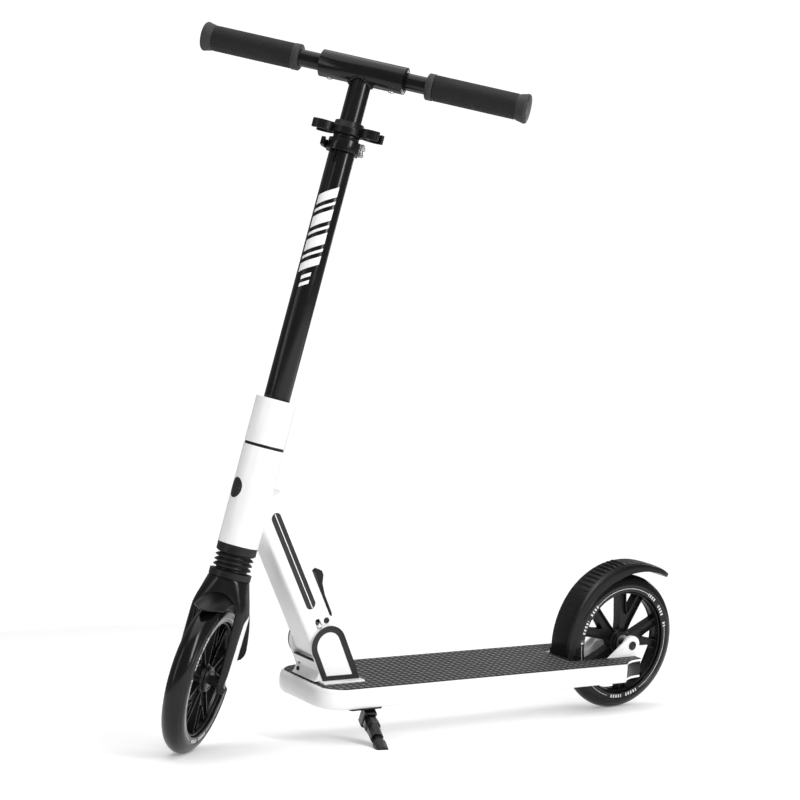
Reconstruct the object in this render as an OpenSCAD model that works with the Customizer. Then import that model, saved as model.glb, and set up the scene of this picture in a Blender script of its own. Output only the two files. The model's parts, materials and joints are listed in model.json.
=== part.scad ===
// Folding kick scooter with two 200 mm wheels, standing on its kickstand.
// Built upright in the scooter's own frame (X forward, Y to the rider's left, Z up,
// rear axle over the origin), then leaned as one onto the kickstand.

/* [Stance] */
// Lean to the left while parked, degrees
lean_angle = 9; // [7:0.5:10]
// Handlebar turned to the left while parked, degrees
steer_angle = 40; // [0:5:60]

/* [Wheels] */
// Outer diameter of both wheels
wheel_d = 200; // [180:5:205]
// Width of the tyres
tyre_w = 30; // [26:1:32]
// Distance between the two axles
wheelbase = 720; // [710:5:760]
// Split spokes in each wheel
spoke_count = 5; // [4:1:6]

/* [Deck] */
// Width of the deck
deck_w = 144; // [136:2:160]
// Height of the deck section
deck_h = 27; // [25:1:30]
// Height of the deck's top over the ground line
deck_top = 83; // [80:1:90]
// Furthest point of the deck's nose ahead of the rear axle
deck_front = 564; // [560:2:572]
// Corner radius of the nose, in plan
nose_r = 40; // [25:5:50]

/* [Front frame] */
// Backward slope of the steering axis from the vertical, degrees
head_angle = 12; // [11:0.5:13]
// Distance of the front axle ahead of the steering axis
fork_offset = 9.5; // [6:0.5:14]
// Slope of the neck over the deck, degrees
neck_angle = 60.8; // [60:0.2:62]
// Diameter of the head tube and the collar
head_d = 53; // [50:1:56]

/* [Stem and handlebar] */
// Height of the handlebar along the steering axis
bar_t = 802.7; // [795:1:830]
// Handlebar's half length, from the axis to the end of a grip
bar_half = 221; // [200:1:240]
// Diameter of the lower stem tube
stem_d = 34; // [32:1:36]
// Diameter of the sliding upper tube
upper_d = 28.6; // [28:0.2:29]
// Length of a grip
grip_len = 134; // [120:2:140]

/* [Hidden] */
$fn = 64;

// Row origin: middle of the parked scooter's box, at the ground
origin_x = 349.6;
origin_y = 122.9;

wheel_r = wheel_d / 2;
tyre_r = tyre_w / 2;           // radius of the tyre's round section
tyre_c = wheel_r - tyre_r;     // radius of the section's centre line
rim_r = 80;                    // seat of the tyre on the core
rim_in = 73;
hub_r = 17;
hub_half = 12.5;
spoke_phase = 101;             // angle of the first spoke, from ahead over the top
bearing_r = 11;
bearing_w = 7;
axle_r = 4;
run = 0.06;                    // radial clearance of a running fit
gap = 0.35;                    // clearance between moving faces
eps = 0.01;

deck_bot = deck_top - deck_h;
deck_half = deck_w / 2;
slot_half = 30.5;              // half width of the rear wheel's slot
slot_front = 114;
wall = 3;
tail_x = -8;                   // rearmost point of the deck's two arms
tail_y = 47;
tail_r = 60;                   // hollow curve from an arm's tip to the deck's side
tape_t = 1;

pivot = [538.5, 134];          // fold pivot, in x and z
neck_y = 24.2;                 // half width of the neck
neck_half = 22.2;              // half depth of the neck
neck_len = 226;
cheek_in = 24.6;
cheek_out = 28.2;
cheek_r = 26.5;
cheek_lean = 27.5;             // slope of the cheeks' edges from the vertical
flange_t = 3;                  // base plate of the bracket, and its extent
flange_x0 = 481;
flange_x1 = 547;
flange_y = 38;
latch_s = 31.4;                // latch bolt, along and behind the neck's axis
latch_e = 12.4;
pin_s = 31;                    // lock pin, along the neck's axis
pin_travel = 6;

plate_in = 27;                 // inner face of the rear bracket plates
plate_out = 30;
boss_out = 33.5;

head_bot = 174.5;
head_top = 303.5;
ring_top = 307.2;
collar_top = 367;
stem_top = 712;
clamp_t = 703.5;
cam = [-26, -21];              // clamp lever's hub, in the steered frame
clamp_h = 15;
holder_t = 718;                // underside of the grip holder
boot_bot = 131.5;
boot_top = 174.2;
steer_in = 11.5;               // radius of the fork's inner tube
button_y = 42;                 // bar buttons, from the steering axis
crown_top = 131;
crown_r = 27;
leg_in = 26;
leg_out = 43;                  // at the legs' rear edge
leg_front = 32;                // half width at their front edge
leg_back_x = -7;
leg_front_x = 22;
axle_end = 36.5;

fender_r = 119.5;
pin_x = 104;                   // hinge of the fender brake, in x and z
pin_z = 74;

kick_pivot = [488, 62, 42];
kick_dip = 18;                 // slope of the leg's swing plane under the deck
kick_toe = 19;                 // forward turn of the leg when it is down

// ---- placing --------------------------------------------------------------

// Direction in the scooter's frame of a direction v in the steered frame
function steer_dir(v) =
    let (s = steer_angle, h = head_angle,
         a = v[0] * cos(s) - v[1] * sin(s), b = v[0] * sin(s) + v[1] * cos(s))
    [a * cos(h) - v[2] * sin(h), b, a * sin(h) + v[2] * cos(h)];
// Height of a scooter-frame vector once the scooter leans
function leaned_z(p) = p[2] * cos(lean_angle) - p[1] * sin(lean_angle);
// Lowest point of a tyre with centre c and axle direction n
function tyre_low(c, n) =
    leaned_z(c) - tyre_c * sqrt(1 - pow(leaned_z(n), 2)) - tyre_r;

axis_foot = [wheelbase - fork_offset * cos(head_angle), 0,
    wheel_r - fork_offset * sin(head_angle)];
rear_low = tyre_low([0, 0, wheel_r], [0, 1, 0]);
front_low = tyre_low(axis_foot + steer_dir([fork_offset, 0, 0]), steer_dir([0, 1, 0]));
pitch = atan((front_low - rear_low) / wheelbase);

module parked() translate([-origin_x, -origin_y, -rear_low]) rotate([0, pitch, 0])
    rotate([-lean_angle, 0, 0]) children();
// Steering axis without the steering: Z runs up the axis, X is forward
module headed() parked() translate(axis_foot) rotate([0, -head_angle, 0]) children();
module steered() headed() rotate([0, 0, steer_angle]) children();
// Neck frame: Z runs up the neck from the fold pivot, -X is behind the neck
module on_neck() parked() translate([pivot[0], 0, pivot[1]]) rotate([0, 90 - neck_angle, 0])
    children();
module at_rear_axle() parked() translate([0, 0, wheel_r]) children();
module at_front_axle() steered() translate([fork_offset, 0, 0]) children();
// Kickstand frame: Z is the pin, Y is outward across the swing plane
module at_kickstand() parked() translate(kick_pivot) rotate([-kick_dip, 0, 0]) children();
module both_sides() { children(); mirror([0, 1, 0]) children(); }

// ---- shapes ---------------------------------------------------------------

// Cylinder along Y, from y0 to y1
module rod_y(r, y0, y1) translate([0, y0, 0]) rotate([-90, 0, 0]) cylinder(r = r, h = y1 - y0);
// A drawing in X and Z given a thickness from y0 to y1
module plate_y(y0, y1) translate([0, y1, 0]) rotate([90, 0, 0]) linear_extrude(y1 - y0)
    children();
module ring_y(r_out, r_in, y0, y1) difference() {
    rod_y(r_out, y0, y1);
    rod_y(r_in, y0 - 1, y1 + 1);
}
module tube(r_out, r_in, z0, z1) translate([0, 0, z0]) difference() {
    cylinder(r = r_out, h = z1 - z0);
    translate([0, 0, -1]) cylinder(r = r_in, h = z1 - z0 + 2);
}
module round_rect(x, y, r) {
    square([2 * x - 2 * r, 2 * y], center = true);
    square([2 * x, 2 * y - 2 * r], center = true);
    for (i = [-1, 1], j = [-1, 1]) translate([i * (x - r), j * (y - r)]) circle(r = r);
}
// Stadium outline from a to b
module capsule(a, b, r) {
    d = b - a;
    translate(a) circle(r = r);
    translate(b) circle(r = r);
    translate(a) rotate(atan2(d[1], d[0])) translate([0, -r]) square([norm(d), 2 * r]);
}
// Round-wire spring along Z, one closed sweep
module coil(r, wire, length, turns) {
    sides = 8;
    rings = turns * 12;
    pts = [for (i = [0 : rings], j = [0 : sides - 1])
        let (a = 360 * i / 12, b = 360 * j / sides, q = r + wire / 2 * cos(b))
        [q * cos(a), q * sin(a), length * i / rings + wire / 2 * sin(b)]];
    side_faces = [for (i = [0 : rings - 1], j = [0 : sides - 1])
        let (k = (j + 1) % sides)
        [i * sides + j, i * sides + k, (i + 1) * sides + k, (i + 1) * sides + j]];
    ends = [[for (j = [0 : sides - 1]) sides - 1 - j],
        [for (j = [0 : sides - 1]) rings * sides + j]];
    polyhedron(points = pts, faces = concat(side_faces, ends), convexity = 10);
}

// ---- wheels ---------------------------------------------------------------

module tyre() color("#18181a") rotate([90, 0, 0]) rotate_extrude($fn = 128)
    intersection() {
        translate([tyre_c, 0]) circle(r = tyre_r);
        translate([rim_r, -tyre_r]) square([tyre_w, 2 * tyre_r]);
    }
// One arm of a split spoke: it leaves the hub near the spoke's middle and reaches
// the rim to one side
module spoke_arm(side) polygon([
    [hub_r - 3, side * -1], [hub_r - 3, side * 8], [30, side * 11.5],
    [rim_in + 1, side * 27], [rim_in + 3, side * 10], [44, side * 0.2], [30, side * -1]]);
module core() color("#1c1c1e") {
    ring_y(rim_r, rim_in, -11, 11);
    difference() {
        union() {
            rod_y(hub_r, -hub_half, hub_half);
            plate_y(-6.5, 6.5) difference() {
                for (i = [0 : spoke_count - 1], side = [-1, 1])
                    rotate(spoke_phase + 360 * i / spoke_count) spoke_arm(side);
                circle(r = bearing_r + 1);
            }
        }
        rod_y(bearing_r - 1.5, -hub_half - 1, hub_half + 1);
        both_sides() rod_y(bearing_r, hub_half - bearing_w, hub_half + 1);
    }
}
module bearings() color("#a8abb0") both_sides()
    ring_y(bearing_r, axle_r + run, hub_half - bearing_w, hub_half);
// The sleeve between the bearings and a spacer outside each of them
module spacers(face) color("#8f9296") {
    ring_y(6, axle_r, -(hub_half - bearing_w - gap), hub_half - bearing_w - gap);
    both_sides() ring_y(6.5, axle_r, hub_half + gap, face);
}

// ---- deck -----------------------------------------------------------------

// Plan of the deck, drawn in by the given inset
module deck_plan(inset) difference() {
    r = nose_r - inset;
    y = deck_half - inset;
    union() {
        translate([tail_x + inset, -y]) square([deck_front - nose_r - tail_x - inset, 2 * y]);
        translate([deck_front - nose_r - eps, -y + r]) square([nose_r - inset + eps, 2 * (y - r)]);
        for (j = [-1, 1]) translate([deck_front - nose_r, j * (y - r)]) circle(r = r);
    }
    for (j = [-1, 1]) translate([tail_x, j * (tail_y + tail_r)])
        circle(r = tail_r + inset, $fn = 128);
}
module deck() color("white") parked() difference() {
    translate([0, 0, deck_bot]) linear_extrude(deck_h) deck_plan(0);
    translate([tail_x - 1, -slot_half, deck_bot - 1])
        cube([slot_front - tail_x + 1, 2 * slot_half, deck_h + 2]);
    translate([slot_front - 1, -slot_half + 3, deck_bot + wall])
        cube([418, 2 * slot_half - 6, deck_h - 2 * wall]);
    both_sides() translate([tail_x - 1, slot_half + wall, deck_bot + wall])
        cube([538, deck_half - slot_half - 2 * wall + 0.5, deck_h - 2 * wall]);
}
module deck_end_caps() color("#151515") parked() both_sides() intersection() {
    translate([tail_x, slot_half + wall, deck_bot + wall])
        cube([60, deck_half - slot_half - 2 * wall + 0.5, deck_h - 2 * wall]);
    translate([tail_x, tail_y + tail_r, deck_bot]) difference() {
        cylinder(r = tail_r + 5, h = deck_h, $fn = 128);
        translate([0, 0, -1]) cylinder(r = tail_r + 0.6, h = deck_h + 2, $fn = 128);
    }
}
module grip_tape() color("#222224") parked() translate([0, 0, deck_top])
    linear_extrude(tape_t) difference() {
        intersection() {
            deck_plan(5.4);
            // further from the nose's edge than from the sides'
            translate([-3.4, 0]) deck_plan(5.4);
        }
        // clear of the fender's front edge
        translate([tail_x - 1, -slot_half - 3])
            square([fender_r + 1.5 - tail_x, 2 * slot_half + 6]);
        translate([flange_x0 - 1, -flange_y - 1])
            square([flange_x1 - flange_x0 + 2, 2 * flange_y + 2]);
    }

// Tombstone outline of a bracket cheek, in X and Z, standing on the line z = foot
module cheek_outline(r, foot) intersection() {
    translate(pivot) rotate(90 - cheek_lean) union() {
        circle(r = r);
        translate([-90, -r]) square([90, 2 * r]);
    }
    translate([400, foot]) square([200, 120]);
}
module fold_bracket() color("white") parked() difference() {
    union() {
        translate([flange_x0, -flange_y, deck_top])
            cube([flange_x1 - flange_x0, 2 * flange_y, flange_t]);
        both_sides() plate_y(cheek_in, cheek_out) cheek_outline(cheek_r, deck_top);
        // front wall, under the neck's end
        plate_y(-cheek_in - 1, cheek_in + 1) difference() {
            cheek_outline(cheek_r, deck_top);
            cheek_outline(cheek_r - 3.5, deck_top - 1);
            translate([400, deck_top - 1]) square([115, 100]);
            translate([400, 113]) square([200, 100]);
        }
    }
    translate([pivot[0], 0, pivot[1]]) rod_y(5 + run, -27, 27);
}
module bracket_trims() color("#303234") parked() both_sides()
    plate_y(cheek_out, cheek_out + 0.8) difference() {
        cheek_outline(cheek_r - 0.3, deck_top + flange_t + 0.2);
        cheek_outline(cheek_r - 8.3, deck_top + flange_t + 6.7);
    }
// Two screws in the bracket's front wall
module bracket_screws() color("#3a3a3c") parked() translate([pivot[0], 0, pivot[1]])
    rotate([0, cheek_lean, 0]) both_sides() translate([cheek_r, 12, -32])
    rotate([0, 90, 0]) cylinder(r = 3, h = 1.5);
module fold_bolt() color("#77797c") parked() translate([pivot[0], 0, pivot[1]])
    rod_y(5, -26.9, 26.9);

// ---- rear -----------------------------------------------------------------

module rear_brackets() color("white") parked() both_sides() difference() {
    union() {
        plate_y(plate_in, plate_out) difference() {
            union() {
                polygon([[-20, 62], [112, 62], [112, 82], [30, 82], [12, 98], [-34, 98]]);
                translate([0, wheel_r]) circle(r = 14);
            }
        }
        plate_y(plate_out - eps, boss_out) {
            translate([0, wheel_r]) circle(r = 14);
            polygon([[-14, wheel_r], [14 * cos(50), wheel_r + 14 * sin(50)],
                [44, deck_top + 0.2], [-14, deck_top + 0.2]]);
        }
    }
    translate([0, 0, wheel_r]) rod_y(axle_r + run, -50, 50);
    translate([pin_x, 0, pin_z]) rod_y(2.5 + run, -50, 50);
}
module rear_axle() color("#8f9296") at_rear_axle() rod_y(axle_r, -boss_out, boss_out);
module rear_axle_caps() color("#141414") at_rear_axle() both_sides() {
    rod_y(6.5, boss_out, boss_out + 1.6);
    rod_y(3.6, boss_out, boss_out + 2.4);
}
module rear_spacers() at_rear_axle() spacers(plate_in);
module rear_tyre() at_rear_axle() tyre();
module rear_core() at_rear_axle() core();
module rear_bearings() at_rear_axle() bearings();

// Part of a ring round the axle; angles run from ahead of the wheel over its top
module wheel_arc(r0, r1, half, from, to) rotate([90, 0, 0]) rotate([0, 0, from])
    rotate_extrude(angle = to - from, $fn = 160) translate([r0, -half]) square([r1 - r0, 2 * half]);
// The fender turns on a pin through its foot, just ahead of the tyre
module brake_fender() color("#161617") at_rear_axle() difference() {
    union() {
        // roof, and a raised back with ribs
        wheel_arc(fender_r - 3, fender_r, 18, -7.2, 129);
        for (i = [0 : 9]) wheel_arc(fender_r - 1, fender_r + 1.5, 13, 46 + 4 * i, 48 + 4 * i);
        // side skirts
        both_sides() rotate([90, 0, 0]) rotate([0, 0, -7.2])
            rotate_extrude(angle = 136.2, $fn = 160)
            polygon([[98, -21.5], [98, -19.5], [fender_r - 3, -15.5], [fender_r, -18]]);
        // foot, reaching down through the deck's slot to the hinge
        translate([101.5, -21.5, -15.7]) cube([17, 43, 8]);
        translate([99.5, -21.5, -26]) cube([13, 43, 11]);
        translate([pin_x, 0, pin_z - wheel_r]) rod_y(5, -26.5, 26.5);
    }
    // the skirts rise away from the wheel towards the tail
    translate([-16, 0, -6]) rod_y(110, -30, 30);
    translate([pin_x, 0, pin_z - wheel_r]) rod_y(2.5 + run, -30, 30);
    translate([90, -19.4, -14]) cube([11.5, 38.8, 22]);
    // room for the spring
    translate([95, -20.5, -36]) cube([18.6, 13, 19.2]);
}
module brake_pad() color("#55585c") at_rear_axle()
    wheel_arc(104, fender_r - 3, 10, 60, 84);
module brake_pin() color("#9a9da1") parked() translate([pin_x, 0, pin_z])
    rod_y(2.5, -plate_out, plate_out);
module brake_spring() color("#8c8f93") parked() translate([pin_x, -19, pin_z]) rotate([-90, 0, 0])
    coil(7, 1.6, 10, 5);

// ---- kickstand ------------------------------------------------------------

module kickstand_mount() color("#1b1b1c") {
    parked() translate([472, 40, deck_bot - 3]) cube([50, 30, 3]);
    difference() {
        at_kickstand() translate([-10, -14, -10.2]) cube([22.5, 19, 30]);
        parked() translate([440, 0, deck_bot - 3]) cube([100, 100, 30]);
        // room for the knuckle and for the leg's swing to the rear
        at_kickstand() translate([-30, -10, -7.8]) cube([40, 40, 15.6]);
        at_kickstand() cylinder(r = 3, h = 60, center = true);
    }
}
module kickstand_pin() color("#8d9094") at_kickstand() translate([0, 0, -10.5])
    cylinder(r = 3 - run, h = 19);
module kickstand_leg() color("#19191a") at_kickstand() difference() {
    union() {
        translate([0, 0, -7.4]) cylinder(r = 9.2, h = 14.8);
        rotate([-90, 0, -kick_toe]) rotate([0, 0, 22.5]) cylinder(r = 7.4, h = 48, $fn = 8);
    }
    translate([0, 0, -8]) cylinder(r = 3, h = 16);
    rotate([-90, 0, -kick_toe]) translate([0, 0, 20]) cylinder(r = 4, h = 29);
}
module kickstand_spring() color("#9b9ea2") at_kickstand() rotate([-90, 0, -kick_toe])
    translate([0, 0, 21.6]) coil(2.9, 1.2, 14.6, 6);
module kickstand_foot() color("#121213") difference() {
    at_kickstand() rotate([-90, 0, -kick_toe]) {
        translate([0, 0, 37.5]) cylinder(r = 3.9, h = 14);
        translate([0, 0, 48.3]) cylinder(r = 4.8, h = 14);
        translate([0, 0, 57]) cylinder(r = 7.8, h = 15);
    }
    // the sole is flat on the ground
    translate([-500, -500, -60]) cube([1500, 1500, 60]);
}

// ---- front frame ----------------------------------------------------------

module neck_section(x, y, r, z0, z1) translate([0, 0, z0]) linear_extrude(z1 - z0)
    round_rect(x, y, r);
module front_frame() color("white") difference() {
    union() {
        on_neck() {
            neck_section(neck_half, neck_y, 7, 0, neck_len);
            rod_y(neck_half, -neck_y, neck_y);
        }
        headed() translate([0, 0, head_bot]) cylinder(r = head_d / 2, h = head_top - head_bot);
    }
    // the neck is hollow between its lug and its closed top
    on_neck() {
        neck_section(neck_half - 3, neck_y - 3, 5, 22, neck_len - 28);
        rod_y(5 + run, -30, 30);
        // slots for the lock pin, the latch bolt's hole, and the latch's opening behind
        plate_y(-30, 30) capsule([0, pin_s], [0, pin_s + pin_travel], 4);
        translate([-latch_e, 0, latch_s]) rod_y(3 + run, -30, 30);
        translate([-neck_half - 5, -6.8, 16]) cube([12, 13.6, 44]);
    }
    headed() {
        translate([0, 0, head_bot - 1]) cylinder(r = 19, h = head_top - head_bot + 2);
        translate([0, 0, head_bot - 1]) cylinder(r = 22, h = 14);
        translate([0, 0, head_top - 13]) cylinder(r = 22, h = 14);
    }
}
module neck_stripes() color("#303234") on_neck() both_sides() plate_y(neck_y, neck_y + 0.6)
    capsule([0, 65.2], [0, 197.8], 7.2);
module headset_bearings() color("#9fa2a6") headed() {
    tube(22, upper_d / 2 + run, head_bot + 1, head_bot + 13);
    tube(22, upper_d / 2 + run, head_top - 13, head_top - 1);
}
module headset_ring() color("#101011") headed()
    tube(head_d / 2 - 0.7, upper_d / 2 + 0.5, head_top, ring_top - gap);
module latch_bolt() color("#2c2c2e") on_neck() translate([-latch_e, 0, latch_s]) {
    rod_y(3, -neck_y, neck_y);
    both_sides() rod_y(5, neck_y, neck_y + 1.8);
}
module latch_lever() color("#161617") on_neck() difference() {
    union() {
        translate([-latch_e, 0, latch_s]) rod_y(6.5, -6, 6);
        plate_y(-6, 6) polygon([[-latch_e, latch_s - 6], [-31, 23], [-31, 34],
            [-latch_e, latch_s + 6]]);
        plate_y(-8, 8) polygon([[-29.8, 27], [-31.5, 20], [-33.2, 25], [-33.6, 54],
            [-38, 70], [-45, 81], [-43.5, 88], [-40, 91], [-32.5, 89], [-30.5, 72],
            [-30.3, 54]]);
    }
    translate([-latch_e, 0, latch_s]) rod_y(3 + run, -20, 20);
}
module latch_pin() color("#b9bcc0") on_neck() translate([0, 0, pin_s]) rod_y(3.5, -27, 27);
module latch_spring() color("#9b9ea2") on_neck() translate([-latch_e, 7, latch_s])
    rotate([-90, 0, 0]) coil(4.6, 1.2, 11, 6);

// ---- steering -------------------------------------------------------------

module steerer() color("#9fa2a6") steered() difference() {
    translate([0, 0, 146]) cylinder(r = upper_d / 2, h = 238);
    // the fork's tube and the spring work below the stop, at 302
    translate([0, 0, 140]) cylinder(r = steer_in + run, h = 162);
    translate([0, 0, 306]) cylinder(r = steer_in + run, h = 90);
}
module stem_collar() color("white") steered() tube(head_d / 2, stem_d / 2, ring_top, collar_top);
module lower_stem() color("#17171a") steered() difference() {
    translate([0, 0, ring_top]) cylinder(r = stem_d / 2, h = stem_top - ring_top);
    translate([0, 0, ring_top - 1]) cylinder(r = upper_d / 2, h = stem_top);
    translate([0, 0, 386]) cylinder(r = 15.3, h = stem_top);
    // compression slot, ending in a round hole
    rotate([0, 0, -8]) {
        translate([0, -1.2, 682]) cube([30, 2.4, 40]);
        translate([0, 0, 682]) rotate([0, 90, 0]) cylinder(r = 2.6, h = 30);
    }
}
module stem_bush() color("#2a2a2c") steered() {
    tube(15.3, upper_d / 2 + run, 650, stem_top);
    tube(stem_d / 2, upper_d / 2 + run, stem_top, holder_t);
}
module clamp_ring() color("#131314") steered() difference() {
    union() {
        translate([0, 0, clamp_t - clamp_h / 2]) cylinder(r = 21.5, h = clamp_h);
        translate([-33, -12, clamp_t - clamp_h / 2]) cube([20, 24, clamp_h]);
    }
    translate([0, 0, clamp_t - clamp_h]) cylinder(r = stem_d / 2, h = 2 * clamp_h);
    translate([-40, -1.5, clamp_t - clamp_h]) cube([26, 3, 2 * clamp_h]);
    translate([cam[0], 0, clamp_t]) rod_y(2.5, -20, 20);
}
module clamp_bolt() color("#b9bcc0") steered() translate([cam[0], 0, clamp_t])
    rod_y(2.5, -19, 21);
module clamp_nut() color("#c3c6ca") steered() translate([cam[0], 0, clamp_t]) difference() {
    union() {
        rod_y(8, 12, 15);
        rod_y(6.5, 15, 23);
    }
    rod_y(2.5, 11, 21);
}
// Cam lever: its hub turns about an axis parallel to the stem, round the bolt's end
module clamp_lever() color("#151516") steered() difference() {
    union() {
        translate([cam[0], cam[1], clamp_t - 6.5]) cylinder(r = 8.5, h = 13);
        translate([0, 0, clamp_t - 5]) linear_extrude(10)
            polygon([[-30, -28.5], [-26, -29.5], [-6, -31.5], [14, -28], [18, -23],
                [15, -21.5], [10, -25], [-6, -27.5], [-24, -24]]);
    }
    translate([cam[0], cam[1], clamp_t - 7]) cylinder(r = 3.2, h = 14);
    translate([cam[0] - 14, cam[1] - 5, clamp_t - 3.1]) cube([17.1, 17, 6.2]);
}
// Clip round the stem with a C-shaped cup on each side for a pulled-out bar
module grip_holder() color("#1a1a1b") steered() translate([0, 0, holder_t]) difference() {
    union() {
        cylinder(r = 21, h = 15);
        both_sides() translate([0, 33, 0]) cylinder(r = 18, h = 15);
        translate([-11, -30, 0]) cube([22, 60, 15]);
    }
    translate([0, 0, -1]) cylinder(r = upper_d / 2 + 0.3, h = 17);
    both_sides() {
        translate([0, 33.5, -1]) cylinder(r = 13, h = 17);
        translate([-10, 33.5, -1]) cube([20, 30, 17]);
    }
}
module upper_tube() color("#151517") steered() tube(upper_d / 2, 12.6, 520, bar_t - 12.4);
module crossbar() color("#17171a") steered() difference() {
    translate([0, 0, bar_t]) rod_y(17.5, -57, 57);
    translate([0, 0, bar_t]) rod_y(11.15, -60, 60);
    translate([0, 0, 520]) cylinder(r = upper_d / 2, h = bar_t - 12.4 - 520);
    both_sides() translate([0, button_y, bar_t - 30]) cylinder(r = 3.7, h = 30);
}
module bar() difference() {
    rod_y(11.1, 8, bar_half - 4);
    rod_y(8.8, 7, bar_half);
    translate([0, button_y, -20]) cylinder(r = 3.7, h = 20);
}
module grip() difference() {
    y0 = bar_half - grip_len;
    union() {
        rod_y(16.5, y0, bar_half);
        rod_y(17.3, y0, y0 + 9);
        translate([0, bar_half - 12, 0]) rotate([-90, 0, 0]) cylinder(r1 = 16.6, r2 = 19, h = 9);
        rod_y(19, bar_half - 3, bar_half);
    }
    rod_y(11.1, y0 - 1, bar_half - 4);
}
// Sprung button that locks a bar in the crossbar, on its underside
module button() translate([0, button_y, 0]) {
    translate([0, 0, -19]) cylinder(r = 3.4, h = 13);
    translate([0, 0, -7.2]) cylinder(r = 4.6, h = 1.5);
}
module on_left() steered() translate([0, 0, bar_t]) children();
module on_right() on_left() mirror([0, 1, 0]) children();
module bar_left() color("#141416") on_left() bar();
module bar_right() color("#141416") on_right() bar();
module grip_left() color("#1d1d1f") on_left() grip();
module grip_right() color("#1d1d1f") on_right() grip();
module bar_button_left() color("#b0b3b7") on_left() button();
module bar_button_right() color("#b0b3b7") on_right() button();

// ---- fork -----------------------------------------------------------------

// Front view, in Y and T
module fork_front_view() difference() {
    polygon([[-crown_r, crown_top], [-33, 108], [-leg_out, 80], [-leg_out, 10], [-38, -20],
        [38, -20], [leg_out, 10], [leg_out, 80], [33, 108], [crown_r, crown_top]]);
    translate([-leg_in, -30]) square([2 * leg_in, 122]);
    translate([16 - leg_in, 80]) square([2 * leg_in - 32, 28]);
    for (j = [-1, 1]) translate([j * (leg_in - 16), 92]) circle(r = 16);
}
// Side view, in X and T
module fork_side_view() {
    polygon([[-crown_r, crown_top], [crown_r, crown_top], [25, 112], [20, 88], [21.5, 0],
        [-3.5, 0], [-7, 55], [-13, 90], [-22, 112]]);
    translate([9, -1]) circle(r = 12.5);
}
// Plan: the legs flare out towards the rear
module fork_plan() both_sides() polygon([[leg_front_x + 8, 0], [leg_front_x + 8, crown_r],
    [leg_front_x, leg_front], [leg_back_x, leg_out], [-30, leg_out], [-30, 0]]);
module fork() color("#1b1b1d") steered() difference() {
    union() {
        intersection() {
            rotate([90, 0, 90]) translate([0, 0, -60]) linear_extrude(120) fork_front_view();
            plate_y(-60, 60) fork_side_view();
            translate([0, 0, -30]) linear_extrude(180) fork_plan();
        }
        translate([0, 0, 112]) cylinder(r = steer_in, h = 138);
    }
    translate([fork_offset, 0, 0]) {
        rod_y(axle_r, -60, 60);
        both_sides() rod_y(7.5, axle_end - 4.5, 60);
    }
}
// Stripe down the rear half of each leg, following its slope and its flare
module fork_stripes() color("white") steered() both_sides() translate([leg_back_x, leg_out, 0])
    rotate([0, 0, atan((leg_front - leg_out) / (leg_front_x - leg_back_x))])
    translate([13.5, 0, 6]) rotate([0, -4.2, 0]) plate_y(0.02, 0.82)
    capsule([0, 0], [0, 72], 6.8);
module front_visor() color("#1f1f21") at_front_axle() {
    wheel_arc(103.2, 106.2, 19.5, 56, 81);
    // tab that holds it under the crown
    translate([-14, -7, 104]) cube([33, 14, 4]);
}
// The rear mudguard's curve is struck from a point behind the axle
module front_mudguard() color("#1b1b1d") at_front_axle() translate([-6, 0, 0])
    wheel_arc(116, 119, 17, 104, 168);
module suspension_boot() color("#141415") steered() rotate_extrude() difference() {
    union() {
        translate([0, boot_bot]) square([27.5, 8]);
        translate([0, boot_top - 10]) square([26, 10]);
        translate([0, boot_bot]) square([20.5, boot_top - boot_bot]);
        for (i = [0 : 2]) translate([21.5, 145.5 + 6.2 * i]) circle(r = 2.2);
    }
    translate([0, boot_bot - 1]) square([17, 33]);
    translate([0, boot_bot]) square([upper_d / 2, 60]);
}
module suspension_spring() color("#9b9ea2") steered() translate([0, 0, 252])
    coil(8.6, 2.2, 48.5, 7);
module front_axle() color("#8f9296") at_front_axle() {
    rod_y(axle_r, -axle_end + 1, axle_end - 1);
    both_sides() rod_y(7, axle_end - 4.4, axle_end - 0.5);
}
module front_spacers() at_front_axle() spacers(leg_in);
module front_tyre() at_front_axle() tyre();
module front_core() at_front_axle() core();
module front_bearings() at_front_axle() bearings();

deck();
deck_end_caps();
grip_tape();
fold_bracket();
bracket_trims();
bracket_screws();
fold_bolt();
rear_brackets();
rear_axle();
rear_axle_caps();
rear_spacers();
rear_tyre();
rear_core();
rear_bearings();
brake_fender();
brake_pad();
brake_pin();
brake_spring();
kickstand_mount();
kickstand_pin();
kickstand_leg();
kickstand_spring();
kickstand_foot();
front_frame();
neck_stripes();
headset_bearings();
headset_ring();
latch_bolt();
latch_lever();
latch_pin();
latch_spring();
steerer();
stem_collar();
lower_stem();
stem_bush();
clamp_ring();
clamp_bolt();
clamp_nut();
clamp_lever();
grip_holder();
upper_tube();
crossbar();
bar_left();
bar_right();
grip_left();
grip_right();
bar_button_left();
bar_button_right();
fork();
fork_stripes();
front_visor();
front_mudguard();
suspension_boot();
suspension_spring();
front_axle();
front_spacers();
front_tyre();
front_core();
front_bearings();
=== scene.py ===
import json
import bmesh
import bpy
from math import atan, cos, pi, radians, sin, sqrt
from mathutils import Matrix, Vector


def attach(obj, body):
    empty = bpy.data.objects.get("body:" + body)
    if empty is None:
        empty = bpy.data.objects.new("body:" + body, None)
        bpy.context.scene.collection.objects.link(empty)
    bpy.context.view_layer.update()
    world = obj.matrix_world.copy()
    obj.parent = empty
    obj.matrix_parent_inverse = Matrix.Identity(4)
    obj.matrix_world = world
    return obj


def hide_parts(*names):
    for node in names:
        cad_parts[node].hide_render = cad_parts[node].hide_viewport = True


# Looks of a parked kick scooter. Lengths below are in millimetres, in the same local
# frames as the CAD source: the scooter's own upright frame, the steered frame (Z up the
# steering axis), the neck's frame, and one frame on each axle.

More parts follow.
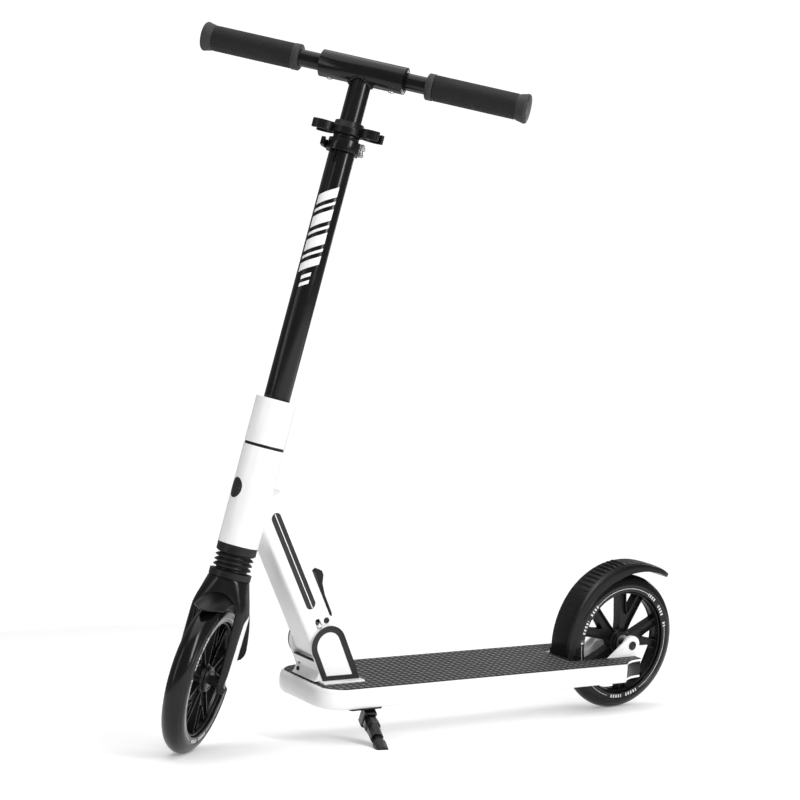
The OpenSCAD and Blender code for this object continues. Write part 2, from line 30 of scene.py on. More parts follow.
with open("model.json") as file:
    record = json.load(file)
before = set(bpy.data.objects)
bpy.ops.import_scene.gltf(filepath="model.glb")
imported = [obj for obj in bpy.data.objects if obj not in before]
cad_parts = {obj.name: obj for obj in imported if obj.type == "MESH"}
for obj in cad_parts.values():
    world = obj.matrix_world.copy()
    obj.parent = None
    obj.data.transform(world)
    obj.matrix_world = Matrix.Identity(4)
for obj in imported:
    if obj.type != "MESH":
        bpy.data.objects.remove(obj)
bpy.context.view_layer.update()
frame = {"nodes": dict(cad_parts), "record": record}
nodes = frame["nodes"]
MM = 0.001

# ---- sizes shared with the CAD source --------------------------------------
LEAN, STEER, HEAD, NECK = radians(9), radians(40), radians(12), radians(60.8)
WHEELBASE, WHEEL_R, TYRE_R, FORK_OFFSET = 720, 100, 15, 9.5
ORIGIN = (349.6, 122.9)
DECK_TOP, DECK_H, DECK_HALF, DECK_FRONT, NOSE_R = 83, 27, 72, 564, 40
PIVOT = (538.5, 134)
HEAD_R = 26.5
STEM_R, UPPER_R, BAR_T, BAR_HALF = 17, 14.3, 802.7, 221
CLAMP_T, HOLDER_T = 703.5, 718
LEG_IN = 26


# ---- placing ---------------------------------------------------------------
def turn(angle, axis):
    return Matrix.Rotation(angle, 4, axis)


def shift(x, y, z):
    return Matrix.Translation((x, y, z))


def leaned_z(p):
    return p.z * cos(LEAN) - p.y * sin(LEAN)


def tyre_low(centre, axle):
    return leaned_z(centre) - (WHEEL_R - TYRE_R) * sqrt(1 - leaned_z(axle) ** 2) - TYRE_R


def parked_frame():
    """Frame of the upright scooter, the steered frame in it, and both set in the row frame."""
    foot = shift(WHEELBASE - FORK_OFFSET * cos(HEAD), 0, WHEEL_R - FORK_OFFSET * sin(HEAD))
    steered = foot @ turn(-HEAD, "Y") @ turn(STEER, "Z")
    rear_low = tyre_low(Vector((0, 0, WHEEL_R)), Vector((0, 1, 0)))
    front_low = tyre_low(steered @ Vector((FORK_OFFSET, 0, 0)),
                         steered.to_3x3() @ Vector((0, 1, 0)))
    pitch = atan((front_low - rear_low) / WHEELBASE)
    parked = (shift(-ORIGIN[0], -ORIGIN[1], -rear_low) @ turn(pitch, "Y") @ turn(-LEAN, "X"))
    return parked, parked @ steered, parked @ foot @ turn(-HEAD, "Y")


PARKED, STEERED, HEADED = parked_frame()
ON_NECK = PARKED @ shift(PIVOT[0], 0, PIVOT[1]) @ turn(pi / 2 - NECK, "Y")
REAR = PARKED @ shift(0, 0, WHEEL_R)
FRONT = STEERED @ shift(FORK_OFFSET, 0, 0)
KICK = PARKED @ shift(488, 62, 42) @ turn(radians(-18), "X")


# ---- camera ----------------------------------------------------------------
FOCAL_PX, IMAGE_PX = 2117.2, 800


def make_camera():
    eye = PARKED @ Vector((2111, 2262, 787)) * MM
    target = PARKED @ Vector((340, -132.7, 438.1)) * MM
    up = PARKED.to_3x3() @ Vector((0.0046, -0.1475, 0.9891))
    back = (eye - target).normalized()
    right = up.cross(back).normalized()
    axes = Matrix((right, back.cross(right), back)).transposed().to_4x4()
    data = bpy.data.cameras.new("camera")
    data.sensor_width = 36
    data.lens = FOCAL_PX / IMAGE_PX * data.sensor_width
    data.clip_start, data.clip_end = 0.05, 50
    cam = bpy.data.objects.new("camera", data)
    cam.matrix_world = Matrix.Translation(eye) @ axes
    bpy.context.scene.collection.objects.link(cam)
    bpy.context.scene.camera = cam
    return eye, target


EYE, TARGET = make_camera()


# ---- materials -------------------------------------------------------------
class Paint:
    """A procedural material, built up a few nodes at a time."""

    def __init__(self, name, colour, rough, metallic=0.0, coat=0.0, level=0.5):
        self.mat = bpy.data.materials.new(name)
        self.mat.use_nodes = True
        self.tree = self.mat.node_tree
        self.bsdf = self.tree.nodes["Principled BSDF"]
        self.set("Base Color", (*colour, 1))
        self.set("Roughness", rough)
        self.set("Metallic", metallic)
        self.set("Coat Weight", coat)
        self.set("Coat Roughness", 0.12)
        self.set("Specular IOR Level", level)
        self.coords = self.node("ShaderNodeTexCoord").outputs["Object"]

    def set(self, socket, value):
        self.bsdf.inputs[socket].default_value = value

    def node(self, kind, **settings):
        n = self.tree.nodes.new(kind)
        for key, value in settings.items():
            setattr(n, key, value)
        return n

    def link(self, source, target):
        self.tree.links.new(source, target)

    def math(self, operation, *values):
        n = self.node("ShaderNodeMath", operation=operation)
        for i, v in enumerate(values):
            if hasattr(v, "is_output"):
                self.link(v, n.inputs[i])
            else:
                n.inputs[i].default_value = v
        return n.outputs[0]

    def noise(self, scale, detail=3.0, stretch=(1, 1, 1)):
        place = self.node("ShaderNodeMapping")
        place.inputs["Scale"].default_value = stretch
        self.link(self.coords, place.inputs["Vector"])
        n = self.node("ShaderNodeTexNoise")
        n.inputs["Scale"].default_value = scale
        n.inputs["Detail"].default_value = detail
        self.link(place.outputs[0], n.inputs["Vector"])
        return n.outputs["Fac"]

    def ramp(self, fac, low, high, start=0.3, end=0.7):
        n = self.node("ShaderNodeMapRange")
        n.inputs["From Min"].default_value = start
        n.inputs["From Max"].default_value = end
        n.inputs["To Min"].default_value = low
        n.inputs["To Max"].default_value = high
        self.link(fac, n.inputs["Value"])
        return n.outputs["Result"]

    def colour(self, fac, low, high):
        """Base colour from low to high by fac. With low as None, high goes over what is there."""
        n = self.node("ShaderNodeMix", data_type="RGBA")
        under = self.bsdf.inputs["Base Color"]
        if low is None:
            self.link(under.links[0].from_socket, n.inputs[6])
        else:
            n.inputs[6].default_value = (*low, 1)
        n.inputs[7].default_value = (*high, 1)
        self.link(fac, n.inputs[0])
        self.link(n.outputs[2], under)

    def polar(self):
        """Radius from the piece's own Z axis in metres, and the angle round it."""
        parts = self.node("ShaderNodeSeparateXYZ")
        self.link(self.coords, parts.inputs[0])
        x, y = parts.outputs[0], parts.outputs[1]
        squares = [self.math("MULTIPLY", v, v) for v in (x, y)]
        return self.math("SQRT", self.math("ADD", *squares)), self.math("ARCTAN2", y, x)

    def wave(self, value, per_turn, phase=0.0):
        """Sine of value times per_turn."""
        return self.math("SINE", self.math("ADD", self.math("MULTIPLY", value, per_turn), phase))

    def rough(self, fac, low, high, start=0.3, end=0.7):
        self.link(self.ramp(fac, low, high, start, end), self.bsdf.inputs["Roughness"])

    def bump(self, height, strength, distance=0.3):
        n = self.node("ShaderNodeBump")
        n.inputs["Strength"].default_value = strength
        n.inputs["Distance"].default_value = distance * MM
        normal = self.bsdf.inputs["Normal"]
        if normal.links:
            self.link(normal.links[0].from_socket, n.inputs["Normal"])
        self.link(height, n.inputs["Height"])
        self.link(n.outputs[0], normal)


def plain(name, low, high, rough, spread=0.08, grain=900, relief=0.15, **more):
    """Base for most finishes: broken colour, uneven gloss and a fine grain."""
    p = Paint(name, low, rough, **more)
    p.colour(p.ramp(p.noise(14, 4), 0, 1), low, high)
    p.rough(p.noise(55, 4), rough - spread, rough + spread)
    p.bump(p.noise(grain, 2), relief, 0.15)
    return p


def grey(v, cool=0.0):
    return (v, v, v + cool)


white_paint = plain("white_paint", grey(0.82), grey(0.87), 0.34, 0.06, 500, 0.05, coat=0.25)
white_trim = plain("white_trim", grey(0.82), grey(0.87), 0.30, 0.05, 500, 0.04, coat=0.15)
trim_grey = plain("trim_grey", grey(0.016), grey(0.021, 0.001), 0.42, 0.06, 1400, 0.2, level=0.3)
black_plastic = plain("black_plastic", grey(0.004), grey(0.006), 0.34, 0.07, 1500, 0.25,
                      level=0.25)
wheel_plastic = plain("wheel_plastic", grey(0.004), grey(0.006), 0.30, 0.07, 1300, 0.15,
                      level=0.22)
tyre_rubber = plain("tyre_rubber", grey(0.003), grey(0.004), 0.20, 0.05, 700, 0.06, level=0.3)
black_paint = plain("black_paint", grey(0.004), grey(0.006), 0.22, 0.04, 1600, 0.06, level=0.3)
soft_grip = plain("soft_grip", grey(0.007), grey(0.012), 0.55, 0.08, 1500, 0.4, level=0.3)
boot_rubber = plain("boot_rubber", grey(0.005), grey(0.008), 0.38, 0.08, 1200, 0.25, level=0.3)
grip_tape = plain("grip_tape", grey(0.006), grey(0.009), 0.60, 0.08, 1800, 0.5, level=0.25)
dark_screws = plain("dark_screws", grey(0.012), grey(0.022), 0.35, 0.08, 1200, 0.2,
                    metallic=0.5)
steel = plain("steel", grey(0.40), grey(0.52, 0.01), 0.34, 0.08, 600, 0.2, metallic=1.0)
chrome = plain("chrome", grey(0.66), grey(0.74, 0.01), 0.16, 0.05, 500, 0.1, metallic=1.0)


def tyre_marks(p):
    """A fine white ring on both sidewalls, broken by three groups of plain ticks."""
    radius, angle = p.polar()
    off = p.math("ABSOLUTE", p.math("SUBTRACT", radius, 81.0 * MM))
    inside = p.math("LESS_THAN", p.math("ABSOLUTE", p.wave(angle, 1.5, 0.6)), 0.56)
    line = p.math("MULTIPLY", p.math("LESS_THAN", off, 0.35 * MM), p.math("SUBTRACT", 1.0, inside))
    ticks = p.math("GREATER_THAN", p.wave(angle, 104.0), -0.15)
    groups = p.math("GREATER_THAN", p.wave(angle, 17.0, 0.9), -0.62)
    band = p.math("LESS_THAN", off, 2.3 * MM)
    marks = p.math("MULTIPLY", p.math("MULTIPLY", ticks, groups), p.math("MULTIPLY", band, inside))
    p.colour(p.math("MULTIPLY", p.math("MAXIMUM", line, marks), 0.85), None, grey(0.75))


def woven(p, along_x, along_y):
    """Diamond weave on the deck: a bump of raised strands round small pits, with painted highlight
    on the strands and painted shade in the pits.
    """
    parts = p.node("ShaderNodeSeparateXYZ")
    p.link(p.coords, parts.inputs[0])
    u = p.math("MULTIPLY", parts.outputs[0], 2 * pi / (along_x * MM))
    v = p.math("MULTIPLY", parts.outputs[1], 2 * pi / (along_y * MM * cos(LEAN)))
    net = p.math("ADD", p.math("COSINE", u), p.math("COSINE", v))
    strand = p.ramp(net, 1.0, 0.0, -0.25, 0.45)
    twist = p.ramp(p.math("COSINE", p.math("SUBTRACT", u, v)), 0.35, 1.0, -1.0, 0.6)
    weave_height_and_painted_light = p.math("MULTIPLY", strand, twist)
    # painted highlight and shade: the colour is lighter where the weave stands up and dark in its
    # pits, from the same mask as the bump
    p.colour(weave_height_and_painted_light, None, grey(0.15))
    p.bump(weave_height_and_painted_light, 0.6, 0.7)


def grip_bands(p):
    """The smooth bands at both ends of a grip are paler than its ribbed middle."""
    parts = p.node("ShaderNodeSeparateXYZ")
    p.link(p.coords, parts.inputs[0])
    near = p.math("LESS_THAN", parts.outputs[2], (BAR_HALF - 124.8) * MM)
    far = p.math("GREATER_THAN", parts.outputs[2], (BAR_HALF - 13.4) * MM)
    p.colour(p.math("ADD", near, far), None, grey(0.032))


tyre_marks(tyre_rubber)
woven(grip_tape, 10.6, 9.4)
grip_bands(soft_grip)
PAINTS = {"white_paint": white_paint, "white_trim": white_trim, "trim_grey": trim_grey,
          "black_plastic": black_plastic, "wheel_plastic": wheel_plastic,
          "tyre": tyre_rubber, "black_paint": black_paint, "soft_grip": soft_grip,
          "boot_rubber": boot_rubber, "grip_tape": grip_tape, "dark_screws": dark_screws,
          "steel": steel, "chrome": chrome}


# ---- mesh making -----------------------------------------------------------
def metres(place):
    scaled = place.copy()
    scaled.translation = place.translation * MM
    return scaled


def rounded(obj, width, segments=2, limit=35):
    """Rounds an object's sharp edges by width, in millimetres."""
    bevel = obj.modifiers.new("edges", "BEVEL")
    bevel.width, bevel.segments = width * MM, segments
    bevel.limit_method, bevel.angle_limit = "ANGLE", radians(limit)
    bevel.harden_normals = True
    return obj


def cad_rounded(name, width, segments=2, limit=35):
    """The same on a CAD node, whose own mesh stays as it is."""
    obj = nodes[name]
    weld = obj.modifiers.new("weld", "WELD")
    weld.merge_threshold = 0.01 * MM
    flat = obj.modifiers.new("flat", "DECIMATE")
    flat.decimate_type, flat.angle_limit = "DISSOLVE", radians(0.5)
    rounded(obj, width, segments, limit)
    obj.data.shade_smooth()


def made(name, shape, place, body, slot, smooth=40, replaces=()):
    """A piece from (vertices, faces) in millimetres, in the local frame place."""
    verts, faces = shape
    mesh = bpy.data.meshes.new(name)
    mesh.from_pydata([Vector(v) * MM for v in verts], [], faces)
    bm = bmesh.new()
    bm.from_mesh(mesh)
    bmesh.ops.remove_doubles(bm, verts=bm.verts, dist=1e-6)
    bmesh.ops.recalc_face_normals(bm, faces=bm.faces)
    bm.to_mesh(mesh)
    bm.free()
    mesh.shade_smooth()
    mesh.set_sharp_from_angle(angle=radians(smooth))
    mesh.materials.append(PAINTS[slot].mat)
    obj = bpy.data.objects.new(name, mesh)
    bpy.context.scene.collection.objects.link(obj)
    obj.matrix_world = metres(place)
    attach(obj, body)
    if replaces:
        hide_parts(*replaces)
    return obj


def joined(*shapes):
    verts, faces = [], []
    for v, f in shapes:
        faces += [tuple(i + len(verts) for i in face) for face in f]
        verts += list(v)
    return verts, faces


def moved(shape, place):
    return [place @ Vector(v) for v in shape[0]], shape[1]


def lathe(profile, steps=128):
    """A closed (radius, height) profile turned about Z."""
    n = len(profile)
    verts = [(r * cos(2 * pi * k / steps), r * sin(2 * pi * k / steps), z)
             for k in range(steps) for r, z in profile]
    faces = [(k * n + i, k * n + (i + 1) % n, (k + 1) % steps * n + (i + 1) % n,
              (k + 1) % steps * n + i) for k in range(steps) for i in range(n)]
    return verts, faces


def loft(rings, capped=True):
    """Skin over closed rings of equal length."""
    n = len(rings[0])
    verts = [p for ring in rings for p in ring]
    faces = [(k * n + i, k * n + (i + 1) % n, (k + 1) * n + (i + 1) % n, (k + 1) * n + i)
             for k in range(len(rings) - 1) for i in range(n)]
    if capped:
        last = (len(rings) - 1) * n
        faces += [tuple(range(n))[::-1], tuple(range(last, last + n))]
    return verts, faces


def prism(outline, z0, z1):
    return loft([[(x, y, z) for x, y in outline] for z in (z0, z1)])


def plate(grid, thickness):
    """A shell on a grid of (point, outward direction), thickened inward."""
    rows, cols = len(grid), len(grid[0])
    outer = [Vector(p) for row in grid for p, _ in row]
    inner = [Vector(p) - Vector(d) * thickness for row in grid for p, d in row]
    n = rows * cols
    faces = []
    for i in range(rows - 1):
        for j in range(cols - 1):
            a, b, c, d = (i * cols + j, i * cols + j + 1, (i + 1) * cols + j + 1,
                          (i + 1) * cols + j)
            faces += [(a, b, c, d), (n + d, n + c, n + b, n + a)]
    rim = ([(0, j) for j in range(cols)] + [(i, cols - 1) for i in range(1, rows)]
           + [(rows - 1, j) for j in range(cols - 2, -1, -1)]
           + [(i, 0) for i in range(rows - 2, 0, -1)])
    loop = [i * cols + j for i, j in rim]
    for k, a in enumerate(loop):
        b = loop[(k + 1) % len(loop)]
        faces.append((a, n + a, n + b, b))
    return outer + inner, faces


def along(table, x):
    """Value at x on straight lines between (x, value) pairs in rising x."""
    if x <= table[0][0]:
        return table[0][1]
    for (x0, v0), (x1, v1) in zip(table, table[1:]):
        if x <= x1:
            f = (x - x0) / (x1 - x0)
            return v0 + (v1 - v0) * f
    return table[-1][1]


def steps(start, end, count):
    return [start + (end - start) * i / (count - 1) for i in range(count)]


def cut_from(obj, shape):
    """Cuts a closed shape, given in the piece's own frame, out of a piece."""
    mesh = bpy.data.meshes.new("cutter")
    mesh.from_pydata([Vector(v) * MM for v in shape[0]], [], shape[1])
    bm = bmesh.new()
    bm.from_mesh(mesh)
    bmesh.ops.recalc_face_normals(bm, faces=bm.faces)
    bm.to_mesh(mesh)
    bm.free()
    tool = bpy.data.objects.new("cutter", mesh)
    bpy.context.scene.collection.objects.link(tool)
    tool.matrix_world = obj.matrix_world
    cut = obj.modifiers.new("cut", "BOOLEAN")
    cut.operation, cut.object, cut.solver = "DIFFERENCE", tool, "EXACT"
    baked(obj)
    bpy.data.objects.remove(tool)


def moulded(obj, cutters, voxel, smoothing):
    """Cuts shapes from a piece and softens the result like a moulding."""
    for shape in cutters:
        cut_from(obj, shape)
    fine = obj.modifiers.new("fine", "REMESH")
    fine.mode, fine.voxel_size = "VOXEL", voxel * MM
    relax = obj.modifiers.new("relax", "SMOOTH")
    relax.factor, relax.iterations = 0.5, smoothing
    baked(obj)
    obj.data.shade_smooth()


def baked(obj):
    """Puts an object's modifiers into its mesh."""
    graph = bpy.context.evaluated_depsgraph_get()
    graph.update()
    mesh = bpy.data.meshes.new_from_object(obj.evaluated_get(graph))
    obj.modifiers.clear()
    obj.data = mesh


# ---- CAD nodes: finishes and softened edges ---------------------------------
for part in frame["record"]["subparts"]:
    skin = nodes[part["node"]].data.materials
    skin.clear()
    skin.append(PAINTS[part["material_slot"]].mat)

EDGES = {"deck_end_caps": 0.6, "grip_tape": 0.3, "fold_bracket": 1.0,
         "bracket_trims": 0.3, "rear_brackets": 0.8, "bracket_screws": 0.4,
         "rear_axle_caps": 0.5, "rear_bearings": 0.3, "brake_pad": 0.4,
         "kickstand_mount": 0.6, "kickstand_leg": 0.5, "kickstand_foot": 1.2,
         "front_frame": 1.0, "neck_stripes": 0.25, "headset_ring": 0.6, "latch_bolt": 0.5,
         "latch_lever": 1.0, "latch_pin": 0.5, "stem_collar": 1.0, "lower_stem": 0.5,
         "stem_bush": 0.3, "clamp_ring": 0.8, "clamp_nut": 0.4, "clamp_lever": 1.2,
         "upper_tube": 0.3, "crossbar": 0.8, "bar_left": 0.4, "bar_right": 0.4,
         "bar_button_left": 0.6, "bar_button_right": 0.6, "front_bearings": 0.3}
for node_name, edge in EDGES.items():
    cad_rounded(node_name, edge)


# ---- deck ------------------------------------------------------------------
TAIL_X, TAIL_Y, TAIL_R, SLOT_HALF, SLOT_FRONT = -8, 47, 60, 30.5, 114


def deck_ring(inset, z):
    """Plan of the deck at z, its nose and sides drawn in by inset."""
    r, y = NOSE_R - inset, DECK_HALF - inset
    x = DECK_FRONT - NOSE_R
    half = [(x + r * sin(a), DECK_HALF - NOSE_R + r * cos(a)) for a in steps(pi / 2, 0, 16)]
    centre = TAIL_Y + TAIL_R
    half += [(TAIL_X + sqrt(TAIL_R ** 2 - (centre - v) ** 2), v) for v in steps(y, TAIL_Y, 14)]
    half += [(TAIL_X, SLOT_HALF), (SLOT_FRONT - 3, SLOT_HALF), (SLOT_FRONT, SLOT_HALF - 3)]
    return [(px, py, z) for px, py in half] + [(px, -py, z) for px, py in half[::-1]]


def deck_body():
    profile = [(5.2, 0), (3.6, 0.7), (2.2, 2.0), (1.1, 4.4), (0.3, 8.4), (0, 13.5)]
    profile += [(inset, DECK_H - z) for inset, z in profile[-2::-1]]
    obj = made("deck_body", loft([deck_ring(i, DECK_TOP - DECK_H + z) for i, z in profile]),
               PARKED, "chassis", "white_paint", 30, ["deck"])
    low, high = DECK_TOP - DECK_H + 3, DECK_TOP - 3
    for side in (1, -1):
        mouth = [(-20, side * 33.5), (45, side * 33.5), (45, side * 69), (-20, side * 69)]
        cut_from(obj, prism(mouth, low, high))
    obj.data.shade_smooth()
    obj.data.set_sharp_from_angle(angle=radians(30))
    return rounded(obj, 0.5, 2, 50)


deck_body()


def tape_shape():
    """Grip tape set in from the deck's edge, up to the fender's front and round the bracket."""
    rings = []
    for inset, z in ((6.0, 0), (6.0, 0.7), (6.4, 1)):
        ring = deck_ring(inset, DECK_TOP + z)
        rings.append([(min(x, DECK_FRONT - inset - 3), y, h) for x, y, h in ring])
    return loft(rings)


tape = made("tape_sheet", tape_shape(), PARKED, "chassis", "grip_tape", 30, ["grip_tape"])
for x0, x1, half in ((-20, 112.6, 33), (480.4, 547.6, 38.6)):
    hole = [(x0, -half), (x1, -half), (x1, half), (x0, half)]
    cut_from(tape, prism(hole, DECK_TOP - 5, DECK_TOP + 5))

# ---- wheels ----------------------------------------------------------------
AXLE = turn(-pi / 2, "X")          # Z along the axle, to the left
RIM_R, RIM_IN, HUB_R, HUB_HALF, BEARING_R = 80, 73, 17, 12.5, 11


def tyre_shape():
    section = []
    for a in steps(radians(-90), radians(90), 49):
        r = TYRE_R - (0.35 if abs(abs(a) - radians(54)) < radians(2.2) else 0)
        section.append((WHEEL_R - TYRE_R + r * cos(a), r * sin(a)))
    side = [(84.4, 14.7), (84.0, 14.35), (77.4, 14.2), (76.4, 13.9), (76.0, 13.2), (76.0, 11.1),
            (79.9, 11.05)]
    return lathe(section + side + [(r, -z) for r, z in side[::-1]], 160)


def spoke(angle):
    """One split spoke with a pocket moulded into each side."""
    outline = [(14, 8), (30, 11.5), (62, 22), (74, 27), (76, 12.6), (50, 3.4), (43, 0),
               (50, -3.4), (76, -12.6), (74, -27), (62, -22), (30, -11.5), (14, -8)]
    bm = bmesh.new()
    top = bm.faces.new([bm.verts.new((x, y, 7)) for x, y in outline])
    low = bmesh.ops.extrude_face_region(bm, geom=[top])["geom"]
    for v in [g for g in low if isinstance(g, bmesh.types.BMVert)]:
        v.co.z = -7
    caps = [f for f in bm.faces if len(f.verts) == len(outline)]
    bmesh.ops.recalc_face_normals(bm, faces=bm.faces)
    bmesh.ops.inset_individual(bm, faces=caps, thickness=2.1, depth=0)
    bmesh.ops.inset_individual(bm, faces=caps, thickness=0.4, depth=-4.2)
    bm.verts.index_update()
    shape = [v.co.copy() for v in bm.verts], [tuple(v.index for v in f.verts) for f in bm.faces]
    bm.free()
    return moved(shape, turn(angle, "Z"))


def core_shape():
    rim = [(RIM_R, -11), (RIM_R, 11), (77.5, 11), (76.8, 10.2), (75.2, 10.2), (74.4, 11),
           (RIM_IN, 10.4), (RIM_IN - 0.6, 8.4), (RIM_IN + 0.6, 6.8), (RIM_IN - 1.4, 3.5),
           (RIM_IN - 1.4, -3.5), (RIM_IN + 0.6, -6.8), (RIM_IN - 0.6, -8.4),
           (RIM_IN, -10.4), (74.4, -11), (75.2, -10.2), (76.8, -10.2), (77.5, -11)]
    half = [(HUB_R + 2.5, 5.5), (HUB_R, 8.5), (HUB_R, 10.5), (HUB_R - 1.2, HUB_HALF),
            (13.2, HUB_HALF), (12.6, 11.6), (BEARING_R, 11.6), (BEARING_R, 5.5), (9.5, 5.5)]
    hub = half + [(r, -z) for r, z in half[::-1]]
    # the CAD core counts the same angles the other way round the axle
    arms = [spoke(-radians(101 + 72 * i)) for i in range(5)]
    return joined(lathe(rim, 160), lathe(hub, 96), *arms)


def wheel(name, axle, body):
    made(name + "_tyre_skin", tyre_shape(), axle @ AXLE, body, "tyre", 30, [name + "_tyre"])
    core = made(name + "_wheel_core", core_shape(), axle @ AXLE, body, "wheel_plastic", 30,
                [name + "_core"])
    rounded(core, 0.5)


wheel("rear", REAR, "rear_wheel")
wheel("front", FRONT, "front_wheel")


# ---- rear fender -----------------------------------------------------------
ROOF = [(-7, 112.5), (20, 114), (46, 116.5), (70, 118), (90, 119.6), (110, 123), (122, 125.8),
        (127, 126.8), (128.4, 126.2), (129, 124.8)]
SKIRT = [(-7, 98), (60, 98.3), (74, 100), (84, 103), (95, 106.5), (108, 111.5), (118, 115.8),
         (126, 119.0), (128, 120.2), (129, 122.2)]
HALF_W = [(-7, 21.2), (60, 21.2), (100, 21.2), (116, 20.6), (122, 19.4), (126, 17.2),
          (128, 14.2), (129, 10.5)]


def around(r, y, angle):
    """Point at radius r and angle from ahead of the wheel, over its top, in the axle's frame."""
    return Vector((r * cos(radians(angle)), y, r * sin(radians(angle))))


def fender_section(angle):
    roof, skirt, w = along(ROOF, angle), along(SKIRT, angle), along(HALF_W, angle)
    drop = roof - skirt
    edge = min(1, drop / 12)
    half = [(w, skirt), (w - 0.1, skirt + drop * 0.5), (w - 0.5, roof - drop * 0.30),
            (w - 1.3 * edge, roof - drop * 0.20), (w - 2.6 * edge, roof - 1.9 * edge),
            (w - 3.2, roof - 1.7 * edge), (w - 4.0, roof - 0.8 * edge), (w * 0.55, roof - 0.25),
            (w * 0.25, roof)]
    outer = half + [(-y, r) for y, r in half[::-1]]
    wall = 2.6 * min(1, w / 12)
    fill = 6 * min(1, max(0, (angle - 110) / 9))
    inner = [(y - (wall if y > 0 else -wall) * min(1, abs(y) / 5),
              max(skirt, min(r, roof - 3 - fill))) for y, r in outer]
    ring = outer + inner[::-1]
    return [around(r, y, angle) for y, r in ring]


def fender_shape():
    angles = steps(-7, 118, 64) + steps(119.5, 129, 14)
    return loft([fender_section(a) for a in angles])


def rib(angle, rise=3.2, spread=1.15):
    """A rounded bar across the fender's roof."""
    rings = []
    for y in steps(-16.6, 16.6, 15):
        squeeze = sqrt(max(0.02, 1 - (y / 17) ** 6))
        base = along(ROOF, angle) - 0.8 - abs(y / 16.6) ** 3 * 0.9
        ring = []
        for k in range(12):
            a = 2 * pi * k / 12
            ring.append(around(base + rise * squeeze * max(-0.2, sin(a)), y,
                               angle + spread * cos(a) * squeeze))
        rings.append(ring)
    return loft(rings)


made("rear_fender", fender_shape(), REAR, "brake", "black_plastic", 28, ["brake_fender"])
made("fender_ribs", joined(*[rib(45 + 4.2 * i) for i in range(10)],
                           *[rib(3 + 1.7 * i, 1.3, 0.45) for i in range(23)]), REAR, "brake",
     "black_plastic", 50)


def fender_foot():
    """Block under the roof's front end, down through the deck's slot to the hinge."""
    block = [(101.5, -15.7), (111, -15.7), (111.5, -8), (101.5, -8)]
    arm = [(99.5, -26), (112.5, -26), (112.5, -15), (99.5, -15)]
    return joined(*[moved(prism(o, -20.8, 20.8), turn(pi / 2, "X")) for o in (block, arm)])


rounded(made("fender_foot", fender_foot(), REAR, "brake", "black_plastic"), 0.8)


# ---- fork ------------------------------------------------------------------
OUT_W = [(-14, 35.0), (-8, 36.9), (0, 37.6), (84, 37.6), (92, 37.0), (102, 34.6), (112, 31.6),
         (122, 29.0), (131, 27.0)]
FLARE = [(-14, 0.1), (0, 0.14), (86, 0.14), (104, 0.08), (120, 0)]
FRONT_X = [(-14, 13.5), (-12, 16.0), (-8, 19.0), (-2, 21.2), (10, 22.0), (60, 21.6), (92, 22.6),
           (112, 25.2), (131, 26.6)]
BACK_X = [(-14, 5.5), (-12, 3.2), (-8, 0.4), (-2, -2.2), (10, -3.8), (30, -5.5), (60, -8),
          (88, -12), (98, -16), (110, -22), (122, -25.4), (131, -26.4)]
POWER = [(-14, 2.6), (0, 4.0), (90, 4.0), (112, 2.8), (131, 2.0)]


def leg_side(x, t):
    """How far out the leg's side is at x and t: the legs flare out towards the rear."""
    front, back = along(FRONT_X, t), along(BACK_X, t)
    f = min(0.999, abs((x - (front + back) / 2) / ((front - back) / 2)))
    power = along(POWER, t)
    flare = 1 + along(FLARE, t) * ((front - x) / (front - back) - 0.5)
    return along(OUT_W, t) * flare * (1 - f ** power) ** (1 / power)


def fork_ring(t):
    front, back, power = along(FRONT_X, t), along(BACK_X, t), along(POWER, t)
    half, full = [], 30
    for k in range(full + 1):
        c = cos(pi * k / full)
        x = (front + back) / 2 + (front - back) / 2 * abs(c) ** (2 / power) * (1 if c > 0 else -1)
        half.append((x, leg_side(x, t) if 0 < k < full else 0, t))
    return half + [(x, -y, t) for x, y, t in half[-2:0:-1]]


def arch_cutter():
    arch = [(LEG_IN, -40), (LEG_IN, 80)]
    for a in steps(0.1, pi - 0.1, 19):
        arch.append((LEG_IN * abs(cos(a)) ** 0.8 * (1 if a < pi / 2 else -1),
                     80 + 29 * sin(a) ** 0.8))
    arch += [(-LEG_IN, 80), (-LEG_IN, -40)]
    return moved(prism(arch, -60, 60), turn(pi / 2, "Z") @ turn(pi / 2, "X"))


def fork_piece():
    rings = [fork_ring(t) for t in [-14, -12, -8, -2] + steps(6, 131, 26)]
    obj = made("fork_moulding", loft(rings), STEERED, "fork", "black_paint", 60, ["fork"])
    moulded(obj, [arch_cutter()], 1.1, 5)


fork_piece()


def stripe(side):
    """White stripe on a leg's side, narrowing at its top and foot."""
    grid = []
    for t in steps(-6, 92, 48):
        back = along(BACK_X, t) + 4.0
        front = back + min(15.0, 4 + 1.8 * (t + 6), 0.6 + 2.6 * (92 - t) ** 0.7)
        low = max(0, 1 - (t + 6) / 6)
        back, front = back + 4 * low ** 2, front - 0.5 * low
        row = []
        for x in steps(back, front, 11):
            row.append(((x, side * (leg_side(x, t) + 0.35), t), (0, side, 0)))
        grid.append(row)
    return plate(grid, 0.9)


made("leg_stripes", joined(stripe(1), stripe(-1)), STEERED, "fork", "white_trim", 40,
     ["fork_stripes"])


def visor_shape():
    grid = []
    for v in steps(0, 1, 16):
        row = []
        for u in steps(-1, 1, 17):
            angle = radians(-6 + v * (42 - 11 * u * u))
            r = 111.6 + 0.6 * v ** 1.4 - 9.5 * abs(u) ** 2.4
            p = (r * sin(angle), 22 * u * (1 - 0.06 * v), r * cos(angle))
            row.append((p, Vector((sin(angle), 0.35 * u, cos(angle))).normalized()))
        grid.append(row)
    return plate(grid, 2.2)


visor = made("wheel_visor", visor_shape(), FRONT, "fork", "black_plastic", 40, ["front_visor"])
rounded(visor, 0.6)


